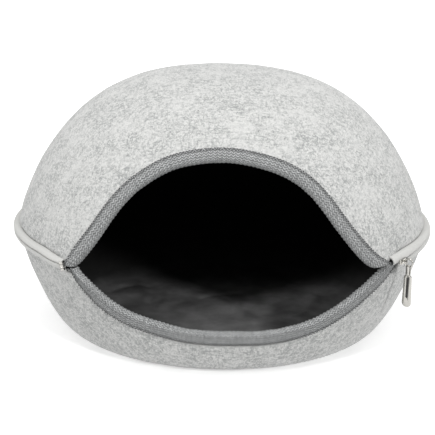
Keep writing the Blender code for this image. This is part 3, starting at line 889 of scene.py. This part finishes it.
def stitch_row(name, centres, along, normal, size, look):
    """Row of small sewn stitches, each a slim closed lozenge."""
    rings, sides = 5, 6
    t = np.linspace(-1, 1, rings)
    angle = np.arange(sides) * 2 * math.pi / sides
    half_length, half_thick = size
    across = np.cross(normal, along)
    points, faces = [], []
    for centre, x, y, z in zip(centres, along, across, normal):
        start = len(points)
        for step in t[1:-1]:
            girth = half_thick * math.sqrt(1 - step ** 2) * 1.15
            for a in angle:
                points.append(centre + x * step * half_length + y * girth * math.cos(a)
                              + z * girth * math.sin(a))
        for ring in range(rings - 3):
            for k in range(sides):
                n = (k + 1) % sides
                low = start + ring * sides
                faces.append((low + k, low + n, low + sides + n, low + sides + k))
        tips = len(points)
        points += [centre - x * half_length, centre + x * half_length]
        last = start + (rings - 3) * sides
        for k in range(sides):
            n = (k + 1) % sides
            faces.append((start + n, start + k, tips))
            faces.append((last + k, last + n, tips + 1))
    return add_piece(name, [tuple(point) for point in points], faces, look)


def make_binding_stitches(name, lip, side):
    """Two staggered rows of stitches that sew the binding down along its outer edge."""
    sizes = bpy.context.scene.cat_cave_sizes
    total = lip_frame(lip, side, 60)[2][-1]
    count = 2 * round(total / sizes.stitch_pitch)
    azimuth, height, run, away = lip_frame(lip, side, count)
    height = ends_in(height, run, side)
    centres, lines, normals = [], [], []
    for first, inset in ((1, 0.7 * MM), (2, 2.4 * MM)):
        turn, rise = walk(azimuth, height, away, BINDING_LEG - inset)
        rise = side * np.maximum(side * rise, END_CLEARANCE)
        out = GAP + OUTER_EASE + BINDING + sizes.knit_depth
        spots = place(turn, rise, np.full(len(turn), out))
        line = unit(np.gradient(spots, axis=0))
        face = outward(turn, rise)
        square = unit(face - line * (face * line).sum(axis=-1, keepdims=True))
        chosen = slice(first, -1, 2)
        centres.append(spots[chosen])
        lines.append(line[chosen])
        normals.append(square[chosen])
    size = (0.27 * sizes.stitch_pitch, 0.55 * sizes.thread)
    piece = stitch_row(name, np.vstack(centres), np.vstack(lines), np.vstack(normals), size,
                       material("thread"))
    return finish_piece(piece, "binding")


# ---------------------------------------------------------------- zip tapes

def zip_rise(azimuth):
    """Height of the closed tapes over the felt at an azimuth in radians."""
    near_end = ((np.asarray(azimuth) / DEGREE + 180) % 360 - 180 - ZIP_FLAT_AT) / ZIP_FLAT_SPREAD
    return ZIP_RISE * (1 - ZIP_FLAT * np.exp(-near_end ** 2))


def make_tape(name, ends, side, node):
    """Rounded tape from its seam beside the felt up to the closure line."""
    left, right = ends
    turn = np.linspace(right, left + 360, 560) * DEGREE
    arc = np.linspace(0, 90, 21) * DEGREE
    width = tape_reach(turn, side)[:, None]
    # the tape's free edge turns in at the closure line
    turned = np.clip((arc / DEGREE - 74) / 16, 0, 1) ** 2
    grids = []
    for cut in (0, ZIP_TAPE):
        reach = np.maximum((width - 0.6 * cut) * np.cos(arc), 0.2 * MM)
        rise = -TAPE_SINK - 0.6 * cut - 1.1 * MM * turned
        crown = zip_rise(turn)[:, None] + GAP + TAPE_SINK - 0.4 * cut
        rise = rise + crown * np.sin(arc) ** 0.8
        grids.append(place(turn[:, None], side * reach + closure(turn)[:, None], rise))
    run = path_length(grids[0][:, 10])
    across = path_length(grids[0][100])
    uv = np.stack(np.broadcast_arrays(run[:, None], across[None, :]), axis=-1)
    piece = cloth(name, *grids, material("tape"), uv=uv)
    finish_piece(piece, "zip_tape", node)
    return piece


# ---------------------------------------------------------------- metal

def crest_frame(azimuth_degrees):
    """Closure-line point of the zip and the turn that points local -Y outwards."""
    azimuth = azimuth_degrees * DEGREE
    crest = place(azimuth, GAP / 2, GAP + float(zip_rise(azimuth)))
    turn = math.atan2(math.sin(azimuth) / HALF_WIDTH, math.cos(azimuth) / HALF_DEPTH)
    return Vector(crest), turn


def start_piece():
    """Deselects everything, so that operators act on the next primitive alone."""
    if bpy.context.object and bpy.context.object.mode != "OBJECT":
        bpy.ops.object.mode_set(mode="OBJECT")
    bpy.ops.object.select_all(action="DESELECT")


def pick(piece, chosen):
    """Selects the vertices for which chosen(position) is true, in edit mode."""
    bpy.ops.object.mode_set(mode="EDIT")
    bpy.ops.mesh.select_mode(type="VERT")
    bpy.ops.mesh.select_all(action="DESELECT")
    work = bmesh.from_edit_mesh(piece.data)
    for vertex in work.verts:
        vertex.select = bool(chosen(vertex.co))
    work.select_flush(True)
    bmesh.update_edit_mesh(piece.data)


def pick_through(piece, chosen):
    """Selects the edges through a plate's thickness, along X, by their height."""
    bpy.ops.mesh.select_mode(type="EDGE")
    bpy.ops.mesh.select_all(action="DESELECT")
    work = bmesh.from_edit_mesh(piece.data)
    for edge in work.edges:
        start, end = (vertex.co for vertex in edge.verts)
        edge.select = abs(start.x - end.x) > MM and bool(chosen(start.z))
    bmesh.update_edit_mesh(piece.data)


def add_modifier(piece, kind, **settings):
    """Adds a modifier with its settings and applies it."""
    modifier = piece.modifiers.new(kind.title(), kind)
    for key, value in settings.items():
        setattr(modifier, key, value)
    bpy.context.view_layer.objects.active = piece
    bpy.ops.object.modifier_apply(modifier=modifier.name)


def set_metal(piece, name, crest, turn, out, *nodes):
    """Names a metal piece, moves it from its own frame to its seat, and finishes it."""
    start_piece()
    piece.name = name
    piece.data.name = name
    seat = Matrix.Translation(crest) @ Matrix.Rotation(turn, 4, "Z") @ Matrix.Translation((0, -out, 0))
    piece.data.transform(seat @ piece.matrix_world)
    piece.matrix_world = Matrix.Identity(4)
    piece.data.materials.clear()
    piece.data.materials.append(material("nickel"))
    piece.data.shade_smooth()
    piece.data.set_sharp_from_angle(angle=40 * DEGREE)
    finish_piece(piece, "metal", *nodes)
    return piece


def cube(size, centre=(0, 0, 0)):
    start_piece()
    bpy.ops.mesh.primitive_cube_add(size=1, location=centre, scale=size)
    bpy.ops.object.transform_apply(location=True, rotation=True, scale=True)
    return bpy.context.object


def make_slider():
    """Slider plate with a rounded nose, and its bridge."""
    crest, turn = crest_frame(SLIDER_AZIMUTH)
    depth = SLIDER_SIZE[1]
    plate = cube(SLIDER_SIZE)
    pick(plate, lambda p: p.x < 0)
    bpy.ops.transform.resize(value=(1, 1, 0.62))
    bpy.ops.object.mode_set(mode="OBJECT")
    add_modifier(plate, "BEVEL", width=1.6 * MM, segments=5, limit_method="ANGLE",
                 angle_limit=60 * DEGREE, affect="EDGES")
    add_modifier(plate, "BEVEL", width=0.25 * MM, segments=2, limit_method="ANGLE",
                 angle_limit=30 * DEGREE)
    set_metal(plate, "slider_plate", crest, turn, GAP + depth / 2, "zip_slider")
    start_piece()
    bpy.ops.mesh.primitive_torus_add(major_radius=3.1 * MM, minor_radius=0.75 * MM,
                                     major_segments=64, minor_segments=20)
    bridge = bpy.context.object
    bridge.scale = (1.0, 1.35, 1.5)
    bpy.ops.object.transform_apply(location=False, rotation=False, scale=True)
    bpy.ops.object.mode_set(mode="EDIT")
    bpy.ops.mesh.select_all(action="SELECT")
    bpy.ops.mesh.bisect(plane_co=(0, 0, 0), plane_no=(0, 1, 0), use_fill=True, clear_outer=True)
    bpy.ops.object.mode_set(mode="OBJECT")
    set_metal(bridge, "slider_bridge", crest, turn, GAP + depth - 0.2 * MM)
    return plate


def make_ring():
    """Round wire ring through the bridge."""
    crest, turn = crest_frame(SLIDER_AZIMUTH)
    start_piece()
    bpy.ops.mesh.primitive_torus_add(major_radius=RING_RADIUS, minor_radius=RING_WIRE,
                                     major_segments=96, minor_segments=20,
                                     rotation=(0, math.pi / 2, 0))
    ring = bpy.context.object
    bpy.ops.object.transform_apply(location=False, rotation=True, scale=False)
    return set_metal(ring, "pull_ring_wire", crest, turn, RING_OUT, "pull_ring")


def make_pull():
    """Slotted tab with a rounded, wider end, hung from the ring by its loop."""
    crest, turn = crest_frame(SLIDER_AZIMUTH)
    ring_rise = RING_RADIUS - math.sqrt(RING_RADIUS ** 2 - (LOOP_WIDTH / 2) ** 2)
    loop_top = -RING_RADIUS + RING_WIRE + ring_rise + GAP
    loop_low = loop_top - LOOP_HOLE - LOOP_WALL
    start_piece()
    bpy.ops.mesh.primitive_torus_add(major_radius=1.65 * MM, minor_radius=0.45 * MM,
                                     major_segments=48, minor_segments=16,
                                     rotation=(math.pi / 2, 0, 0))
    loop = bpy.context.object
    bpy.ops.object.transform_apply(location=False, rotation=True, scale=False)
    # the round wire loop is drawn out lengthways and flattened into a strip
    pick(loop, lambda p: p.z < 0)
    bpy.ops.transform.translate(value=(0, 0, -(LOOP_HOLE - 2.4 * MM)))
    bpy.ops.mesh.select_all(action="SELECT")
    bpy.ops.transform.resize(value=(1, LOOP_WIDTH / (0.9 * MM) * 0.95, 1))
    bpy.ops.transform.translate(value=(0, 0, loop_top - 1.2 * MM))
    bpy.ops.object.mode_set(mode="OBJECT")
    set_metal(loop, "pull_tab_loop", crest, turn, RING_OUT)

    top = loop_low + TAB_OVERLAP - LOOP_WALL
    tab = cube((1.6 * MM, 8.4 * MM, TAB_LENGTH), (0, 0, top - TAB_LENGTH / 2))
    pick(tab, lambda p: p.z < top - TAB_LENGTH / 2)
    bpy.ops.transform.resize(value=(1, 1.24, 1))
    pick_through(tab, lambda height: height < top - TAB_LENGTH / 2)
    bpy.ops.mesh.bevel(offset=4.6 * MM, segments=10, profile=0.5, affect="EDGES")
    pick_through(tab, lambda height: height > top - MM)
    bpy.ops.mesh.bevel(offset=2.6 * MM, segments=6, profile=0.5, affect="EDGES")
    bpy.ops.object.mode_set(mode="OBJECT")
    slot = cube((6 * MM, 2.6 * MM, 21.5 * MM), (0, 0, top - 13.2 * MM))
    add_modifier(slot, "BEVEL", width=0.9 * MM, segments=6, limit_method="ANGLE")
    slot.scale = (1, 1, 1)
    start_piece()
    add_modifier(tab, "BOOLEAN", operation="DIFFERENCE", solver="EXACT", object=slot)
    bpy.data.objects.remove(slot, do_unlink=True)
    add_modifier(tab, "BEVEL", width=0.3 * MM, segments=3, limit_method="ANGLE",
                 angle_limit=50 * DEGREE)
    set_metal(tab, "pull_tab_plate", crest, turn, RING_OUT, "pull_tab")
    # a dark plate inside the slot: painted shade for the slot's dark depth
    web = cube((0.7 * MM, 3.2 * MM, 22.2 * MM), (0, 0, top - 13.2 * MM))
    set_metal(web, "pull_tab_slot_shade", crest, turn, RING_OUT)
    web.data.materials.clear()
    web.data.materials.append(material("groove"))
    return tab


def make_stop():
    """Crimped metal end stop over the zip's left end."""
    crest, turn = crest_frame(STOP_AZIMUTH)
    stop = cube((5.0 * MM, 2.0 * MM, 9.0 * MM))
    bpy.ops.object.mode_set(mode="EDIT")
    bpy.ops.mesh.select_all(action="SELECT")
    bpy.ops.mesh.subdivide(number_cuts=6)
    bpy.ops.object.mode_set(mode="OBJECT")
    # two crimp grooves pressed across its outer face
    pick(stop, lambda p: p.y < -0.9 * MM and 0.9 * MM < abs(p.z) < 2.2 * MM)
    bpy.ops.transform.translate(value=(0, 0.7 * MM, 0))
    bpy.ops.object.mode_set(mode="OBJECT")
    add_modifier(stop, "BEVEL", width=0.5 * MM, segments=3, limit_method="ANGLE",
                 angle_limit=35 * DEGREE)
    # it is crimped on a little askew
    start_piece()
    stop.data.transform(Matrix.Rotation(-STOP_LEAN * DEGREE, 4, "Y"))
    return set_metal(stop, "zip_stop_clamp", crest, turn, GAP + 1.0 * MM, "zip_end_stop")


# ---------------------------------------------------------------- studio

def sun(name, azimuth, elevation, spread, strength):
    """Even light from a direction; spread is the lamp's apparent size in degrees."""
    data = bpy.data.lights.new(name, "SUN")
    data.angle = spread * DEGREE
    data.energy = strength * math.pi
    lamp = bpy.data.objects.new(name, data)
    bpy.context.scene.collection.objects.link(lamp)
    a, e = azimuth * DEGREE, elevation * DEGREE
    toward = Vector((math.sin(a) * math.cos(e), -math.cos(a) * math.cos(e), math.sin(e)))
    lamp.rotation_euler = toward.to_track_quat("Z", "Y").to_euler()
    return lamp


def make_floor():
    """Plain pale floor, sized to fill the view."""
    start_piece()
    bpy.ops.mesh.primitive_plane_add(size=24, location=(0, 0, 0))
    floor = bpy.context.object
    floor.name = "studio_floor"
    floor.visible_diffuse = False
    look, _, shader = new_material("pale_matt_paint")
    shader.inputs["Base Color"].default_value = opaque(linear("#F7F7F7"))
    shader.inputs["Emission Color"].default_value = (1, 1, 1, 1)
    shader.inputs["Emission Strength"].default_value = 0.35
    shader.inputs["Roughness"].default_value = 0.9
    shader.inputs["Specular IOR Level"].default_value = 0.1
    floor.data.materials.append(look)


def make_flags():
    """Black boards out of view, for the metal to mirror."""
    look, _, shader = new_material("black_flock_board")
    shader.inputs["Base Color"].default_value = opaque(linear("#101010"))
    for name, azimuth, width in (("studio_flag_right", 12, 0.55), ("studio_flag_left", -24, 0.5),
                                 ("studio_flag_side", 78, 0.8)):
        start_piece()
        turn = azimuth * DEGREE
        bpy.ops.mesh.primitive_plane_add(size=1, rotation=(math.pi / 2, 0, turn), location=(
            2.2 * math.sin(turn), -2.2 * math.cos(turn), 0.5))
        board = bpy.context.object
        board.name = name
        bpy.ops.transform.resize(value=(width, width, 2.4))
        board.visible_camera = False
        board.visible_diffuse = False
        board.visible_shadow = False
        board.data.materials.append(look)


def make_camera():
    data = bpy.data.cameras.new("camera")
    data.lens = CAMERA_LENS
    data.sensor_width = 36
    data.shift_x, data.shift_y = CAMERA_SHIFT
    data.clip_start, data.clip_end = 0.05, 50
    camera = bpy.data.objects.new("camera", data)
    bpy.context.scene.collection.objects.link(camera)
    a, e, roll = (angle * DEGREE for angle in (CAMERA_AZIMUTH, CAMERA_ELEVATION, CAMERA_ROLL))
    back = Vector((math.sin(a) * math.cos(e), -math.cos(a) * math.cos(e), math.sin(e)))
    right = Vector((math.cos(a), math.sin(a), 0))
    up = back.cross(right)
    c, s = math.cos(roll), math.sin(roll)
    across, upright = right * c - up * s, right * s + up * c
    turn = Matrix((across, upright, back)).transposed().to_4x4()
    camera.matrix_world = Matrix.Translation(back * CAMERA_DISTANCE + Vector((0, 0, ZIP_HEIGHT))) @ turn
    bpy.context.scene.camera = camera


def make_light():
    """Pale world, brighter below but for the front, two front lamps and one overhead."""
    world = bpy.data.worlds.new("studio_world")
    world.use_nodes = True
    tree = world.node_tree
    way = add_node(tree, "ShaderNodeTexCoord").outputs["Generated"]
    parts = add_node(tree, "ShaderNodeSeparateXYZ", Vector=way).outputs
    below = add_node(tree, "ShaderNodeMapRange", Value=parts["Y"], From_Min=-1.0, From_Max=-0.3,
                     To_Min=0.34, To_Max=0.98)
    high = add_node(tree, "ShaderNodeMapRange", Value=parts["Z"], From_Min=-0.3, From_Max=0.4)
    above = mixed(tree, high.outputs[0], below.outputs[0], (0.49, 0.49, 0.49, 1))
    sky = tree.nodes["Background"]
    sky.inputs["Color"].default_value = (1, 1, 1, 1)
    tree.links.new(above, sky.inputs["Strength"])
    bpy.context.scene.world = world
    # the two front lamps throw pools of light through the mouth onto the hollow's floor
    sun("right_lamp", 29, 29, 6, 0.34)
    sun("left_lamp", -36, 32, 6, 0.25)
    sun("top_lamp", 0, 84, 60, 0.40)
    bpy.context.scene.view_settings.view_transform = "Standard"


# ---------------------------------------------------------------- operators

class CAVE_OT_felt(bpy.types.Operator):
    """Builds the two felt halves"""
    bl_idname = "cat_cave.felt"
    bl_label = "Felt halves"

    def execute(self, context):
        dome = make_felt("felt_dome", UPPER_LIP, 1, "upper_shell")
        bowl = make_felt("felt_bowl", LOWER_LIP, -1, "lower_shell")
        return {"FINISHED"}


class CAVE_OT_lining(bpy.types.Operator):
    """Builds the two black linings"""
    bl_idname = "cat_cave.lining"
    bl_label = "Linings"

    def execute(self, context):
        dome = make_lining("dome_lining", UPPER_LIP, 1, "upper_lining", ())
        bowl = make_lining("bowl_lining", LOWER_LIP, -1, "lower_lining", LINING_FOLDS)
        return {"FINISHED"}


class CAVE_OT_binding(bpy.types.Operator):
    """Builds the knitted binding round the mouth and its stitches"""
    bl_idname = "cat_cave.binding"
    bl_label = "Binding"

    def execute(self, context):
        for half, lip, side in (("upper", UPPER_LIP, 1), ("lower", LOWER_LIP, -1)):
            tape = make_binding(f"{half}_mouth_binding", lip, side, f"{half}_binding")
            thread = make_binding_stitches(f"{half}_binding_stitches", lip, side)
            total = float(lip_frame(lip, side, 60)[2][-1])
        return {"FINISHED"}


class CAVE_OT_zip(bpy.types.Operator):
    """Builds the two zip tapes"""
    bl_idname = "cat_cave.zip_tape"
    bl_label = "Zip tapes"

    def execute(self, context):
        upper = make_tape("upper_zip_band", UPPER_TAPE_ENDS, 1, "upper_zip_tape")
        lower = make_tape("lower_zip_band", LOWER_TAPE_ENDS, -1, "lower_zip_tape")
        return {"FINISHED"}


class CAVE_OT_metal(bpy.types.Operator):
    """Builds the slider, ring, pull tab and end stop"""
    bl_idname = "cat_cave.metal"
    bl_label = "Slider, pull and stop"

    def execute(self, context):
        make_slider()
        make_ring()
        make_pull()
        make_stop()
        return {"FINISHED"}


class CAVE_OT_stage(bpy.types.Operator):
    """Builds the floor, the black boards, the lights and the camera"""
    bl_idname = "cat_cave.stage"
    bl_label = "Studio"

    def execute(self, context):
        make_floor()
        make_flags()
        make_light()
        make_camera()
        return {"FINISHED"}


STEPS = (CAVE_OT_felt, CAVE_OT_lining, CAVE_OT_binding, CAVE_OT_zip, CAVE_OT_metal, CAVE_OT_stage)


class CAVE_PT_panel(bpy.types.Panel):
    """Lists the steps that build the cave, and its settings"""
    bl_idname = "CAVE_PT_panel"
    bl_label = "Cat cave"
    bl_space_type = "VIEW_3D"
    bl_region_type = "UI"
    bl_category = "Cat cave"

    def draw(self, context):
        for step in STEPS:
            self.layout.operator(step.bl_idname)
        for group in (context.scene.cat_cave_sizes, context.scene.cat_cave_colours):
            box = self.layout.box()
            for name in group.__annotations__:
                box.prop(group, name)


CLASSES = (CatCaveSizes, CatCaveColours, *STEPS, CAVE_PT_panel)


def register():
    for item in CLASSES:
        bpy.utils.register_class(item)
    bpy.types.Scene.cat_cave_sizes = PointerProperty(type=CatCaveSizes)
    bpy.types.Scene.cat_cave_colours = PointerProperty(type=CatCaveColours)


def unregister():
    del bpy.types.Scene.cat_cave_colours
    del bpy.types.Scene.cat_cave_sizes
    for item in reversed(CLASSES):
        bpy.utils.unregister_class(item)


def main():
    register()
    bpy.ops.cat_cave.felt()
    bpy.ops.cat_cave.lining()
    bpy.ops.cat_cave.binding()
    bpy.ops.cat_cave.zip_tape()
    bpy.ops.cat_cave.metal()
    bpy.ops.cat_cave.stage()


if __name__ == "__main__":
    main()
